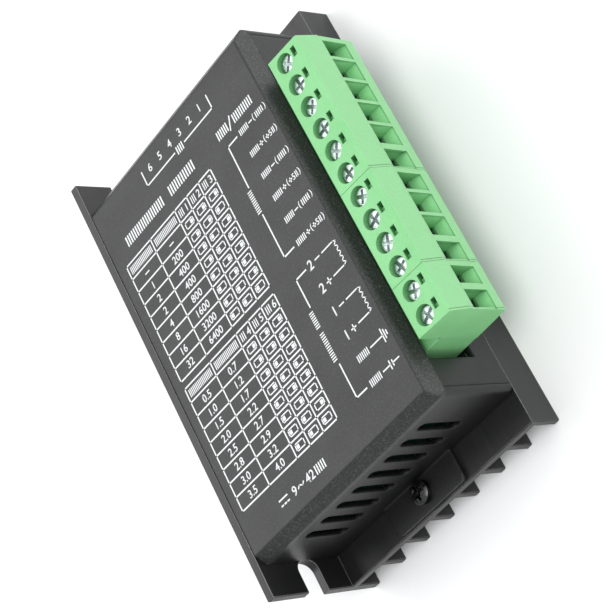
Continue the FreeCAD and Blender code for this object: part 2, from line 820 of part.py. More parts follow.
def end_plate_line(low):
    """The fine line round a plug's head where its end plate is pressed on."""
    corners = [
        ("plug_front - chin_back - plate_deep", "plug_low - 1"),
        ("plug_front - brow_step - plate_deep", "brow_high"),
        ("plug_front - plate_deep", "brow_high"),
        ("plug_front - brow_back - plate_deep", "plug_top - plug_slope"),
        ("plug_front + 1", "plug_top - plug_slope"),
        ("plug_front + 1", "plug_low - 1"),
    ]
    groove = prism("end_plate_line", "XZ_Plane", corners, "plate_gap")
    place(groove, ("0", f"{low} + plate_inset", "0"))
    return groove


def plug_housing(name, ways, first):
    """The moulded plug body: tongue, screw wells on top and a wire entry for each way in front."""
    length = f"{ways} * pitch + plug_over"
    low = f"{way_along(first + ways - 1)} - pitch / 2 - plug_over / 2"
    corners = [
        ("plug_back", "plug_low"),
        ("plug_front - chin_back", "plug_low"),
        ("plug_front - brow_step", "brow_high"),
        ("plug_front", "brow_high"),
        ("plug_front - brow_back", "plug_top - plug_slope"),
        ("plug_back", "plug_top"),
    ]
    head = prism(f"plug_{name}_head", "XZ_Plane", corners, length)
    place(head, ("0", f"{low} + ({length}) / 2", "0"))
    softened = broken_edges(
        f"plug_{name}_softened",
        head,
        0.2,
        lambda edge: runs_along(edge, 1) and edge.BoundBox.Center.z > SIZES["brow_high"] + 1,
    )
    tongue = box(
        "plug_tongue",
        ("tongue_tip", f"{low} + tongue_inset", "plug_low"),
        ("plug_back - tongue_tip + 1", f"{length} - 2 * tongue_inset", "tongue_top - plug_low"),
    )
    solid = joined(f"plug_{name}_solid", [softened, tongue])
    tools = [end_plate_line(low)]
    for end in (f"{low} - 1", f"{low} + {length} - 0.35"):
        # the grip notch at each end, just behind the head
        tools.append(box("grip_notch", ("plug_back - 0.2", end, "tongue_top - 0.3"), ("0.4", "1.35", "1.4")))
    for way in range(first, first + ways):
        # the end walls are thicker than the walls between two entries
        below = "mouth_half - 0.3" if way == first + ways - 1 else "mouth_half"
        above = "mouth_half - 0.65" if way == first else "mouth_half"
        tools += way_hollows(way_along(way), f"entry_{way + 1}", below, above)
    finish(cut(f"plug_{name}_moulding", solid, tools), f"plug_housing_{name}")


def plug_contacts(name, ways, first):
    """The plug's contacts: a square socket for each pin, carried on to a bar inside the clamp."""
    contacts = []
    for way in range(first, first + ways):
        along = way_along(way)
        shell = box("socket", ("tongue_tip + 0.5", f"{along} - 1", "pin_height - 1"), ("6", "2", "2"))
        bore_corner = ("tongue_tip", f"{along} - 0.56", "pin_height - 0.56")
        bore = box("socket_bore", bore_corner, ("6.4", "1.12", "1.12"))
        rise = "bar_low - pin_height + 1.5"
        neck = box("neck", ("tongue_tip + 6.4", f"{along} - 1", "pin_height - 1"), ("0.5", "2", rise))
        bar = box(
            "bar",
            ("tongue_tip + 6.4", f"{along} - 1.2", "bar_low"),
            ("screw_line + 2 - tongue_tip - 6.4", "2.4", "bar_thick"),
        )
        socket = cut(f"contact_{way + 1}_socket", shell, [bore])
        contacts.append(joined(f"contact_{way + 1}", [socket, neck, bar]))
    finish(grouped(f"contacts_{name}", contacts), f"plug_contacts_{name}")


def terminal_screw(number):
    """A clamp screw: round slotted head in its well and a plain shank for its thread."""
    name = f"terminal_screw_{number:02d}"
    head = rod("clamp_head", ("0", "0", "ledge_top + 0.02"), "well_radius - 0.08", "clamp_head")
    edged = rounded_edges(
        f"{name}_head",
        head,
        0.35,
        lambda edge: edge.BoundBox.ZLength < 1e-6 and edge.BoundBox.Center.z > SIZES["ledge_top"] + 1,
    )
    shank_foot = ("0", "0", "bar_low + bar_thick + 0.3")
    shank = rod("clamp_shank", shank_foot, "clamp_shank", "ledge_top - bar_low - bar_thick")
    solid = joined(f"{name}_solid", [edged, shank])
    slot = box("drive_slot", ("-2.5", "-0.35", "ledge_top + 1.1"), ("5", "0.7", "2"))
    cross = box("drive_cross", ("-0.3", "-1.3", "ledge_top + 1.1"), ("0.6", "2.6", "2"))
    screw = cut(f"{name}_slotted", solid, [slot, cross])
    finish(screw, name, along=way_along(number - 1))
    # each screw was left at its own angle; the whole-number steps keep neighbours from matching
    turn = FreeCAD.Rotation(FreeCAD.Vector(0, 0, 1), (number * 47) % 180)
    screw.Placement = FreeCAD.Placement(screw.Placement.Base, turn)
    screw.setExpression("Placement.Base.x", bound("screw_line - (plug_front - sink_width / 2) / 2"))


def clamp_cage(number):
    """A clamp cage, drawn fully open: a square tube along the wire with the screw through its top."""
    name = f"clamp_cage_{number:02d}"
    along = way_along(number - 1)
    corner = ("screw_line - cage_length / 2", f"{along} - cage_width / 2", "cage_low")
    block = box("cage_block", corner, ("cage_length", "cage_width", "cage_tall"))
    edged = broken_edges(f"{name}_block", block, 0.3, lambda edge: runs_along(edge, 0))
    window = box(
        "cage_window",
        ("screw_line - 5", f"{along} - cage_width / 2 + cage_wall", "cage_low + cage_wall"),
        ("10", "cage_width - 2 * cage_wall", "cage_tall - 2 * cage_wall"),
    )
    thread = rod("cage_thread", ("screw_line", along, "cage_low + cage_tall - 2"), "1.3", "3")
    finish(cut(f"{name}_formed", edged, [window, thread]), name)


# ----------------------------------------------------------------------------- assembly
def build():
    heat_sink()
    top_cover()
    cover_screws()
    circuit_board()
    board_standoffs()
    board_screws()
    driver_chip()
    for number, (x, y) in enumerate(CAPACITORS, start=1):
        bulk_capacitor(number, x, y)
    power_inductor()
    for number, y in enumerate(COUPLERS, start=1):
        optocoupler(number, y)
    voltage_regulator()
    dip_switch_housing()
    dip_switch_pins()
    for number in range(1, SWITCHES + 1):
        dip_slider(number)
    indicator_lamp("power_lamp", 0)
    indicator_lamp("alarm_lamp", 1)
    header_pins()
    first = 0
    for name, ways in PLUGS:
        board_header(name, ways, first)
        plug_housing(name, ways, first)
        plug_contacts(name, ways, first)
        first += ways
    for number in range(1, WAYS + 1):
        terminal_screw(number)
        clamp_cage(number)


def check_and_write():
    """Stop on any failed object or bad shape, then write one file for each sub-part."""
    doc.recompute()
    for item in doc.Objects:
        if "Invalid" in item.State or "Error" in item.State:
            raise RuntimeError(f"{item.Name} ({item.Label}) did not compute: {item.State}")
    for item in subparts:
        if item.Shape.isNull() or not item.Shape.isValid() or not item.Shape.Solids:
            raise RuntimeError(f"{item.Label} has no valid solid")
    os.makedirs("parts", exist_ok=True)
    for item in subparts:
        item.Shape.exportStep(f"parts/{item.Label}.step")
        size = item.Shape.BoundBox
        print(
            f"{item.Label:24s} solids {len(item.Shape.Solids):2d}  volume {item.Shape.Volume:10.2f}"
            f"  x {size.XMin:7.2f} {size.XMax:7.2f}  y {size.YMin:7.2f} {size.YMax:7.2f}"
            f"  z {size.ZMin:6.2f} {size.ZMax:6.2f}"
        )


build()
check_and_write()
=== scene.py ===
"""Looks of the stepper motor driver module: finishes, printed legend, studio and camera.

Metres, +Z up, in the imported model's own frame.  The CAD parts keep their shapes.  What is added
here is each part's finish, the white legend printed on the cover, and the floor, lights and
camera.  The legend is laid out in millimetres from the middle of the heat sink, on the cover's top.
"""

import json
import math

import bmesh
import bpy
from mathutils import Matrix, Vector


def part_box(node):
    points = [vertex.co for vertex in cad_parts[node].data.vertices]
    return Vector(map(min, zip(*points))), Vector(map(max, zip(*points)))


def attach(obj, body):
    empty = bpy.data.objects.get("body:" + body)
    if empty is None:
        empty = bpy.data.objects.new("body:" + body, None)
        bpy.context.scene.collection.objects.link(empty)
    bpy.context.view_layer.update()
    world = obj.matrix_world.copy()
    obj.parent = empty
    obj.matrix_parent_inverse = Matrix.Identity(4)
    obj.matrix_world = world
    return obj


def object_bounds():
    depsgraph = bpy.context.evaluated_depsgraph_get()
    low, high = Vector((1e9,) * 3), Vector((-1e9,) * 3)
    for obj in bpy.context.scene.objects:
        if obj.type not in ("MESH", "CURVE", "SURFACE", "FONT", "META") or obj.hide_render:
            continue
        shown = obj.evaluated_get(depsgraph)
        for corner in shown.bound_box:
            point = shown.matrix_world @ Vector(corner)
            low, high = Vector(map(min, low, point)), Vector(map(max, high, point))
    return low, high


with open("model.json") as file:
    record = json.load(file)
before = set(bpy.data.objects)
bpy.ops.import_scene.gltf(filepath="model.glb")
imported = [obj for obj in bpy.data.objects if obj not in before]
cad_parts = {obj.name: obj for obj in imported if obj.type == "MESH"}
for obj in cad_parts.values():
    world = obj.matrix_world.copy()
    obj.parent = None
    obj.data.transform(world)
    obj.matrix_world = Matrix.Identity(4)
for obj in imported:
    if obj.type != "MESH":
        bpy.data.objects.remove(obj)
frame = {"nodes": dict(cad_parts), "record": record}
cad_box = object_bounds()

MM = 0.001
sink_low, sink_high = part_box("heat_sink")
SINK_MIDDLE = (sink_low + sink_high) / 2
PRINT_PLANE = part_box("top_cover")[1].z      # the cover's flat top, which carries the legend
BEVEL_DROP = 3.05 * MM                      # how far the cover's bevels reach down from it
BASE = "driver_base"


# ------------------------------------------------------------------------------------ finishes
class Finish:
    """A node material, built up around its Principled shader."""

    def __init__(self, name, metallic=0.0, specular=0.5):
        self.material = bpy.data.materials.new(name)
        self.material.use_nodes = True
        self.tree = self.material.node_tree
        self.shader = self.tree.nodes["Principled BSDF"]
        self.shader.inputs["Metallic"].default_value = metallic
        self.shader.inputs["Specular IOR Level"].default_value = specular
        self.place = self.node("ShaderNodeTexCoord").outputs["Object"]

    def node(self, kind, **settings):
        node = self.tree.nodes.new(kind)
        for key, value in settings.items():
            setattr(node, key, value)
        return node

    def link(self, source, target):
        self.tree.links.new(source, target)

    def stretched(self, size, stretch):
        """Object coordinates, in grains of this size, drawn out by stretch on each axis."""
        mapping = self.node("ShaderNodeMapping")
        mapping.inputs["Scale"].default_value = [1 / (size * factor) for factor in stretch]
        self.link(self.place, mapping.inputs["Vector"])
        return mapping.outputs["Vector"]

    def noise(self, size, stretch=(1, 1, 1), detail=2.0, roughness=0.5):
        """Cloudy noise, mostly between 0.35 and 0.65."""
        texture = self.node("ShaderNodeTexNoise")
        texture.inputs["Scale"].default_value = 1.0
        texture.inputs["Detail"].default_value = detail
        texture.inputs["Roughness"].default_value = roughness
        self.link(self.stretched(size, stretch), texture.inputs["Vector"])
        return texture.outputs["Fac"]

    def cells(self, size, stretch=(1, 1, 1)):
        """The distance to the middle of the nearest cell."""
        texture = self.node("ShaderNodeTexVoronoi")
        texture.inputs["Scale"].default_value = 1.0
        self.link(self.stretched(size, stretch), texture.inputs["Vector"])
        return texture.outputs["Distance"]

    def between(self, value, low, high, start=0.35, end=0.65):
        """The value's range from start to end, spread over low to high."""
        spread = self.node("ShaderNodeMapRange")
        spread.inputs["From Min"].default_value = start
        spread.inputs["From Max"].default_value = end
        spread.inputs["To Min"].default_value = low
        spread.inputs["To Max"].default_value = high
        self.link(value, spread.inputs["Value"])
        return spread.outputs["Result"]

    def product(self, first, second):
        """Two masks or values, multiplied."""
        multiply = self.node("ShaderNodeMath", operation="MULTIPLY")
        self.link(first, multiply.inputs[0])
        self.link(second, multiply.inputs[1])
        return multiply.outputs["Value"]

    def blend(self, mask, first, second):
        """A colour between two colours or sockets, as the mask goes from 0 to 1."""
        mix = self.node("ShaderNodeMix", data_type="RGBA")
        self.link(mask, mix.inputs["Factor"])
        for socket, value in ((mix.inputs["A"], first), (mix.inputs["B"], second)):
            if isinstance(value, tuple):
                socket.default_value = (*value, 1.0)
            else:
                self.link(value, socket)
        return mix.outputs["Result"]

    def along(self, axis, start, end):
        """A mask that goes from 0 at one place on an axis to 1 at another."""
        split = self.node("ShaderNodeSeparateXYZ")
        self.link(self.place, split.inputs["Vector"])
        return self.between(split.outputs[axis], 0.0, 1.0, start, end)

    def facing(self, axis, start, end):
        """A mask of the faces turned along an axis, by the cosine of the angle to it."""
        split = self.node("ShaderNodeSeparateXYZ")
        self.link(self.node("ShaderNodeTexCoord").outputs["Normal"], split.inputs["Vector"])
        return self.between(split.outputs[axis], 0.0, 1.0, start, end)

    def rounded(self, radius):
        """A normal that rounds the edges off by the radius."""
        bevel = self.node("ShaderNodeBevel", samples=4)
        bevel.inputs["Radius"].default_value = radius
        return bevel.outputs["Normal"]

    def edges(self, radius, low=0.04, high=0.35):
        """A mask of the outer and inner edges, as wide as the radius."""
        geometry = self.node("ShaderNodeNewGeometry")
        compare = self.node("ShaderNodeVectorMath", operation="DOT_PRODUCT")
        self.link(self.rounded(radius), compare.inputs[0])
        self.link(geometry.outputs["Normal"], compare.inputs[1])
        return self.between(compare.outputs["Value"], 0.0, 1.0, 1 - low, 1 - high)

    def hollows(self, reach, start, end):
        """A painted-shade mask that goes from 0 deep in a piece's own hollows to 1 in the open.

        Only the piece itself counts, so a plug keeps its colour when it is pulled out.
        """
        shade = self.node("ShaderNodeAmbientOcclusion", samples=8, only_local=True)
        shade.inputs["Distance"].default_value = reach
        return self.between(shade.outputs["AO"], 0.0, 1.0, start, end)

    def bump(self, height, depth, normal=None):
        """A normal raised by the height value, where 1 stands for the depth."""
        raised = self.node("ShaderNodeBump")
        raised.inputs["Distance"].default_value = depth
        self.link(height, raised.inputs["Height"])
        if normal is not None:
            self.link(normal, raised.inputs["Normal"])
        return raised.outputs["Normal"]

    def done(self, colour, roughness, normal):
        """The finished material, with its three textured inputs joined up."""
        for socket, value in (("Base Color", colour), ("Roughness", roughness), ("Normal", normal)):
            self.link(value, self.shader.inputs[socket])
        return self.material


def powder_coat():
    """Satin black powder coat: orange-peel skin, a fine glitter, and thinner, paler edges.

    The glitter is painted larger-grained and bright on the bevels as painted glints, finer on the
    printed top, and painted dull on the walls as painted shade.
    """
    finish = Finish("powder_coat", specular=0.49)
    peel = finish.noise(0.34 * MM, detail=2.0, roughness=0.6)
    grit = finish.noise(0.13 * MM, detail=2.0)
    dust = finish.noise(9 * MM, detail=4.0)

    # where the printed top and the bevels are, each mask with a narrow step
    under_top, on_top = PRINT_PLANE - 0.12 * MM, PRINT_PLANE - 0.02 * MM
    bevel_foot, step = PRINT_PLANE - BEVEL_DROP, 0.15 * MM
    top = finish.along("Z", under_top, on_top)
    below_top = finish.along("Z", on_top, under_top)
    above_walls = finish.along("Z", bevel_foot - step, bevel_foot + step)
    bevels = finish.product(above_walls, below_top)

    skin = finish.blend(finish.between(grit, 0, 1), (0.003, 0.003, 0.0035), (0.009, 0.009, 0.0095))
    # painted glints: a bright, large-grained glitter on the bevels only
    painted_bevel_glints = finish.product(bevels, finish.between(grit, 0.1, 1.0))
    skin = finish.blend(painted_bevel_glints, skin, (0.035, 0.036, 0.035))
    # painted light by zone: the glitter dull on the walls as painted shade, bright on the bevels as
    # painted glints
    glitter_and_painted_light = finish.blend(top, (0.01, 0.01, 0.0105), (0.026, 0.026, 0.027))
    glitter_and_painted_light = finish.blend(bevels, glitter_and_painted_light, (0.07, 0.07, 0.07))
    speckled = finish.blend(finish.between(peel, 0.0, 1.0, 0.52, 0.7), skin, glitter_and_painted_light)
    worn = finish.product(finish.edges(0.22 * MM), finish.between(grit, 0.1, 0.75))
    colour = finish.blend(worn, speckled, (0.055, 0.055, 0.057))
    roughness = finish.between(dust, 0.36, 0.42, 0.3, 0.7)
    normal = finish.bump(grit, 0.006 * MM, finish.bump(peel, 0.04 * MM, finish.rounded(0.6 * MM)))
    return finish.done(colour, roughness, normal)


def black_anodised():
    """Black anodised extrusion: fine lines along Y, and bare sawn metal on its sharp edges."""
    finish = Finish("black_anodised", specular=0.58)
    lines = finish.noise(0.12 * MM, stretch=(1, 60, 1), detail=3.0)
    grain = finish.noise(0.1 * MM, detail=2.0)
    patches = finish.noise(6 * MM, stretch=(1, 4, 1), detail=3.0)
    skin = finish.blend(finish.between(lines, 0, 1), (0.004, 0.004, 0.0045), (0.011, 0.011, 0.0115))
    sawn = finish.between(patches, 0.3, 1.0, 0.4, 0.58)
    worn = finish.product(finish.edges(0.22 * MM, 0.03, 0.25), sawn)
    colour = finish.blend(worn, skin, (0.46, 0.44, 0.41))
    roughness = finish.between(patches, 0.36, 0.46, 0.3, 0.7)
    rounded = finish.rounded(0.15 * MM)
    normal = finish.bump(lines, 0.008 * MM, finish.bump(grain, 0.005 * MM, rounded))
    return finish.done(colour, roughness, normal)


def green_nylon():
    """Glass-filled green nylon: a fine moulded grain and slow changes of tone.

    The faces turned to +X are painted greyer as a painted reflection of the white floor, the edges
    carry a pale painted highlight, and the hollows a deep green painted shade.
    """
    finish = Finish("green_nylon", specular=0.46)
    grain = finish.noise(0.16 * MM, detail=2.0)
    flow = finish.noise(5 * MM, stretch=(1, 2, 1), detail=3.0)
    body = finish.blend(finish.between(flow, 0, 1), (0.185, 0.535, 0.2), (0.22, 0.58, 0.235))
    # painted reflection: faces turned to +X greyer, as if showing the white floor
    body = finish.blend(finish.facing("X", 0.9, 0.97), body, (0.225, 0.525, 0.235))
    colour = finish.blend(finish.between(grain, 0.0, 0.35), body, (0.34, 0.69, 0.36))
    # painted highlight: pale lines along the edges, in patches
    painted_edge_highlight = finish.product(finish.edges(0.14 * MM, 0.03, 0.25), finish.between(flow, 0.5, 0.9))
    colour = finish.blend(painted_edge_highlight, colour, (0.52, 0.86, 0.54))
    # painted shade: deep green in the piece's own hollows
    colour = finish.blend(finish.hollows(5 * MM, 0.1, 0.75), (0.03, 0.2, 0.045), colour)
    finish.shader.inputs["Subsurface Weight"].default_value = 0.16
    finish.shader.inputs["Subsurface Radius"].default_value = (0.4, 1.0, 0.4)
    finish.shader.inputs["Subsurface Scale"].default_value = 0.6 * MM
    roughness = finish.between(grain, 0.4, 0.52)
    normal = finish.bump(grain, 0.008 * MM, finish.rounded(0.12 * MM))
    return finish.done(colour, roughness, normal)


def bare_metal(name, colour, shade, rough, grain=0.08, stretch=(1, 1, 1), lined=0.0012):
    """Plated or turned metal: fine tool lines, dull film in patches, bright edges."""
    finish = Finish(name, metallic=1.0)
    lines = finish.noise(grain * MM, stretch=stretch, detail=3.0)
    film = finish.noise(0.9 * MM, detail=3.0)
    body = finish.blend(finish.between(film, 0, 1), colour, shade)
    bright = tuple(min(1.0, channel * 1.25) for channel in colour)
    body = finish.blend(finish.edges(0.1 * MM), body, bright)
    roughness = finish.between(film, rough, rough + 0.14)
    normal = finish.bump(lines, lined * MM, finish.rounded(0.1 * MM))
    return finish.done(body, roughness, normal)


def moulded(name, colour, shade, rough, grain=0.12, specular=0.5):
    """Moulded plastic or epoxy: an eroded grain and softened edges."""
    finish = Finish(name, specular=specular)
    eroded = finish.noise(grain * MM, detail=3.0)
    flow = finish.noise(3 * MM, detail=2.0)
    body = finish.blend(finish.between(flow, 0, 1), colour, shade)
    roughness = finish.between(eroded, rough, rough + 0.12)
    normal = finish.bump(eroded, 0.008 * MM, finish.rounded(0.1 * MM))
    return finish.done(body, roughness, normal)


def solder_mask():
    """Circuit board: solder mask over copper tracks, with bare glass-epoxy at its sawn edges."""
    finish = Finish("solder_mask")
    tracks = finish.cells(3.1 * MM, stretch=(1, 2.6, 1))
    weave = finish.noise(0.3 * MM, detail=2.0)
    covered = finish.between(tracks, 0, 1, 0.42, 0.46)
    # the greens are partly the mask's own and partly painted shade, kept very dark for the inside
    # of the closed case
    body = finish.blend(covered, (0.004, 0.034, 0.014), (0.007, 0.055, 0.023))
    body = finish.blend(finish.edges(0.25 * MM), body, (0.35, 0.36, 0.2))
    roughness = finish.between(weave, 0.24, 0.34)
    rounded = finish.rounded(0.1 * MM)
    normal = finish.bump(covered, 0.03 * MM, finish.bump(weave, 0.006 * MM, rounded))
    return finish.done(body, roughness, normal)


def printed_ink():
    """Screen-printed white ink, greyer where it is porous."""
    finish = Finish("printed_ink", specular=0.3)
    pores = finish.noise(0.12 * MM, detail=3.0)
    solid = finish.between(pores, 0, 1, 0.25, 0.5)
    body = finish.blend(solid, (0.6, 0.62, 0.62), (0.86, 0.88, 0.88))
    roughness = finish.between(pores, 0.5, 0.65)
    return finish.done(body, roughness, finish.bump(pores, 0.006 * MM))


def tinted_lens(name, colour, shade):
    """A lamp's diffused epoxy lens."""
    finish = Finish(name, specular=0.6)
    haze = finish.noise(0.6 * MM, detail=2.0)
    finish.shader.inputs["Subsurface Weight"].default_value = 0.4
    finish.shader.inputs["Subsurface Scale"].default_value = 0.8 * MM
    roughness = finish.between(haze, 0.12, 0.2)
    body = finish.blend(finish.between(haze, 0, 1), colour, shade)
    return finish.done(body, roughness, finish.bump(haze, 0.01 * MM))


FINISHES = {
    "sink_anodised": black_anodised(),
    "cover_coat": powder_coat(),
    "black_screw": bare_metal("black_zinc", (0.1, 0.1, 0.1), (0.06, 0.06, 0.061), 0.14),
    "spacer_brass": bare_metal(
        "turned_brass", (0.72, 0.52, 0.22), (0.6, 0.42, 0.17), 0.2, stretch=(9, 9, 1)),
    "board_green": solder_mask(),
    "component_black": moulded("moulded_epoxy", (0.018, 0.018, 0.019), (0.03, 0.03, 0.031), 0.5),
    "silicone_pad": moulded(
        "silicone_sheet", (0.33, 0.37, 0.41), (0.4, 0.44, 0.47), 0.55, grain=0.3),
    "tinned_lead": bare_metal("tinned_lead", (0.72, 0.71, 0.68), (0.58, 0.57, 0.54), 0.25),
    "capacitor_sleeve": moulded(
        "shrink_sleeve", (0.012, 0.014, 0.03), (0.02, 0.022, 0.042), 0.25, grain=0.5),
    "switch_red": moulded("switch_plastic", (0.42, 0.02, 0.016), (0.5, 0.03, 0.022), 0.35),
    "slider_white": moulded("slider_plastic", (0.74, 0.74, 0.7), (0.82, 0.82, 0.78), 0.35),
    "lamp_green": tinted_lens("green_lens", (0.05, 0.5, 0.08), (0.1, 0.62, 0.14)),
    "lamp_red": tinted_lens("red_lens", (0.6, 0.03, 0.02), (0.7, 0.06, 0.04)),
    "terminal_green": green_nylon(),
    # black as painted shade: the header stands in shadow inside the case, its own colour not known
    "header_black": moulded(
        "header_painted_shade", (0.008, 0.008, 0.008), (0.013, 0.013, 0.013), 0.55, specular=0.3),
    "plated_steel": bare_metal(
        "zinc_plate", (0.62, 0.68, 0.67), (0.46, 0.53, 0.52), 0.3,
        grain=0.15, stretch=(1, 9, 1), lined=0.0008),
    "contact_tin": bare_metal("tinned_contact", (0.68, 0.67, 0.63), (0.55, 0.54, 0.5), 0.3),
}

for part in frame["record"]["subparts"]:
    for slot in frame["nodes"][part["node"]].material_slots:
        slot.material = FINISHES[part["material_slot"]]

INK = printed_ink()

# -------------------------------------------------------------------------------- printed legend
INK_THICK = 0.03                    # as all of the legend's sizes, in millimetres
WELD = 1e-4                         # points of a figure that are closer than this become one
LINE = 0.3                          # ruled lines and brackets
THIN = 0.26                         # signs and circuit symbols
FIGURE_SHARE = 0.73                 # a figure's height as a share of the typeface's size
FIGURE_WEIGHT = 0.018               # how much its strokes are thickened, as a share of its height
PRINT_SKEW = math.radians(-0.5)     # the screen lay slightly askew on the cover


class Print:
    """One group of the legend: flat ink shapes, in millimetres from the heat sink's middle."""

    def __init__(self, name):
        self.name = name
        self.mesh = bmesh.new()

    def shape(self, outline):
        """A closed outline, anticlockwise from above, as a thin raised patch of ink."""
        low = [self.mesh.verts.new((x, y, 0)) for x, y in outline]
        high = [self.mesh.verts.new((x, y, INK_THICK)) for x, y in outline]
        self.mesh.faces.new(list(reversed(low)))
        self.mesh.faces.new(high)
        for here in range(len(outline)):
            there = (here + 1) % len(outline)
            self.mesh.faces.new((low[here], low[there], high[there], high[here]))

    def block(self, x, y, width, height):
        """An upright rectangle about its middle."""
        dx, dy = width / 2, height / 2
        self.shape(((x - dx, y - dy), (x + dx, y - dy), (x + dx, y + dy), (x - dx, y + dy)))

    def line(self, *points, width=LINE):
        """Straight strokes through the points, each run past its ends by half its width."""
        for start, end in zip(points, points[1:]):
            start, end = Vector(start), Vector(end)
            ahead = (end - start).normalized() * width / 2
            side = Vector((-ahead.y, ahead.x))
            first, last = start - ahead, end + ahead
            self.shape((first - side, last - side, last + side, first + side))

    def grid(self, left, top, widths, row, rows):
        """A ruled table, from its upper left corner."""
        right, bottom = left + sum(widths), top - row * rows
        for number in range(rows + 1):
            self.line((left, top - row * number), (right, top - row * number))
        for number in range(len(widths) + 1):
            across = left + sum(widths[:number])
            self.line((across, top), (across, bottom))

    def number(self, text, x, y, height):
        """Figures or a bracket, centred on a point."""
        curve = bpy.data.curves.new("numeral", "FONT")
        curve.body = text
        curve.size = height / FIGURE_SHARE
        curve.offset = height * FIGURE_WEIGHT
        curve.resolution_u = 3
        holder = bpy.data.objects.new("numeral", curve)
        flat = bpy.data.meshes.new_from_object(holder)
        xs = [vertex.co.x for vertex in flat.vertices]
        ys = [vertex.co.y for vertex in flat.vertices]
        centre = Vector(((min(xs) + max(xs)) / 2, (min(ys) + max(ys)) / 2, 0))
        flat.transform(Matrix.Translation(Vector((x, y, 0)) - centre))
        glyph = bmesh.new()
        glyph.from_mesh(flat)
        bmesh.ops.remove_doubles(glyph, verts=glyph.verts, dist=WELD)
        made = bmesh.ops.extrude_face_region(glyph, geom=glyph.faces[:])
        raised = [item for item in made["geom"] if isinstance(item, bmesh.types.BMVert)]
        bmesh.ops.translate(glyph, verts=raised, vec=(0, 0, INK_THICK))
        bmesh.ops.recalc_face_normals(glyph, faces=glyph.faces[:])
        glyph.to_mesh(flat)
        glyph.free()
        self.mesh.from_mesh(flat)
        bpy.data.objects.remove(holder)
        bpy.data.curves.remove(curve)
        bpy.data.meshes.remove(flat)

    def sign(self, plus, x, y, size=1.2):
        """A plus or a minus sign."""
        self.line((x - size / 2, y), (x + size / 2, y), width=THIN)
        if plus:
            self.line((x, y - size / 2), (x, y + size / 2), width=THIN)

    def strip(self, x, y, length, height, pitch=0.46, upright=True):
        """A hatched strip in place of a word, centred on a point, with one height throughout.

        A strip that isn't upright runs down the cover, along -Y.
        """
        strokes = round(length / pitch)
        for stroke in range(strokes):
            along = (stroke - (strokes - 1) / 2) * length / strokes
            if upright:
                self.block(x + along, y, pitch / 2, height)
            else:
                self.block(x, y - along, height, pitch / 2)

    def toggle(self, x, y, on):
        """A slide switch seen from the front: a frame, and its knob at the on or off end."""
        wide, tall, stroke = 2.5, 1.35, 0.24
        dx, dy = wide / 2, tall / 2
        corners = [(x - dx, y - dy), (x + dx, y - dy), (x + dx, y + dy), (x - dx, y + dy)]
        self.line(*corners, corners[0], width=stroke)
        knob_wide, knob_tall = 0.3 * wide, 0.58 * tall
        self.block(x + (wide / 4 if on else -wide / 4), y, knob_wide, knob_tall)

    def done(self):
        """The group as one piece on the cover's top, riding with the cover."""
        shape = bpy.data.meshes.new(self.name)
        self.mesh.to_mesh(shape)
        self.mesh.free()
        here = Matrix.Translation((SINK_MIDDLE.x, SINK_MIDDLE.y, PRINT_PLANE))
        shape.transform(here @ Matrix.Rotation(PRINT_SKEW, 4, "Z") @ Matrix.Scale(MM, 4))
        shape.materials.append(INK)
        piece = bpy.data.objects.new(self.name, shape)
        bpy.context.scene.collection.objects.link(piece)
        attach(piece, BASE)


TABLE_LEFT = -23.5
COLUMNS = (8.9, 8.9, 4.2, 4.2, 4.2)
FIGURE_COLUMNS = 2                      # the rest are for the switches
ROW = 3.02
ROWS = 9
FIGURE = 1.65


def setting_table(name, top, first_switch, settings):
    """A table with a pair of figures in each row, and the positions of three switches for it.

    The switches count down in binary: all three on in the first row, all off in the last.
    """
    table = Print(name)
    table.grid(TABLE_LEFT, top, COLUMNS, ROW, ROWS)
    middles = [
        TABLE_LEFT + sum(COLUMNS[:column]) + width / 2 for column, width in enumerate(COLUMNS)
    ]
    heading = top - ROW / 2
    margin, word, word_back, figure_ahead = 0.6, 1.6, 0.75, 1.05
    for column, (middle, width) in enumerate(zip(middles, COLUMNS)):
        if column < FIGURE_COLUMNS:
            table.strip(middle, heading, width - 2 * margin, FIGURE)
        else:
            switch = first_switch + column - FIGURE_COLUMNS
            table.strip(middle - word_back, heading, word, FIGURE)
            table.number(str(switch), middle + figure_ahead, heading, FIGURE)
    for row, figures in enumerate(settings, start=1):
        y = top - ROW * (row + 0.5)
        for middle, figure in zip(middles, figures):
            if figure:
                table.number(figure, middle, y, FIGURE)
            else:
                table.sign(False, middle, y)
        for bit, middle in zip((2, 1, 0), middles[FIGURE_COLUMNS:]):
            table.toggle(middle, y, on=not (row - 1) >> bit & 1)
    table.done()


setting_table("legend_step_table", 24.7, 1, (
    ("", ""), ("1", "200"), ("2", "400"), ("2", "400"),
    ("4", "800"), ("8", "1600"), ("16", "3200"), ("32", "6400")))
setting_table("legend_current_table", -4.15, 4, (
    ("0.5", "0.7"), ("1.0", "1.2"), ("1.5", "1.7"), ("2.0", "2.2"),
    ("2.5", "2.7"), ("2.8", "2.9"), ("3.0", "3.2"), ("3.5", "4.0")))

TITLE_LINE = 28.5
LAMP_LINE = 28.0
WORD_PITCH = 0.6        # the hatching of the larger words

title = Print("legend_title")
for middle, length in ((-13.9, 13.6), (-0.5, 8.8)):
    title.strip(middle, TITLE_LINE, length, 2.2, pitch=0.72)
title.done()

lamps = Print("legend_lamps")
lamps.strip(13.6, LAMP_LINE, 3.6, 1.9, pitch=WORD_PITCH)
lamps.line((15.6, LAMP_LINE - 1.2), (16.7, LAMP_LINE + 1.2))
lamps.strip(20.2, LAMP_LINE, 6.2, 1.9, pitch=WORD_PITCH)
lamps.done()

# the switches' numbers, from the right, under a bracket with a word in its gap
BRACKET_LEFT, BRACKET_RIGHT, BRACKET_LINE = -9.0, 14.1, 33.4
FIRST_SWITCH, SWITCH_PITCH, SWITCH_LINE = 11.2, 3.52, 35.9

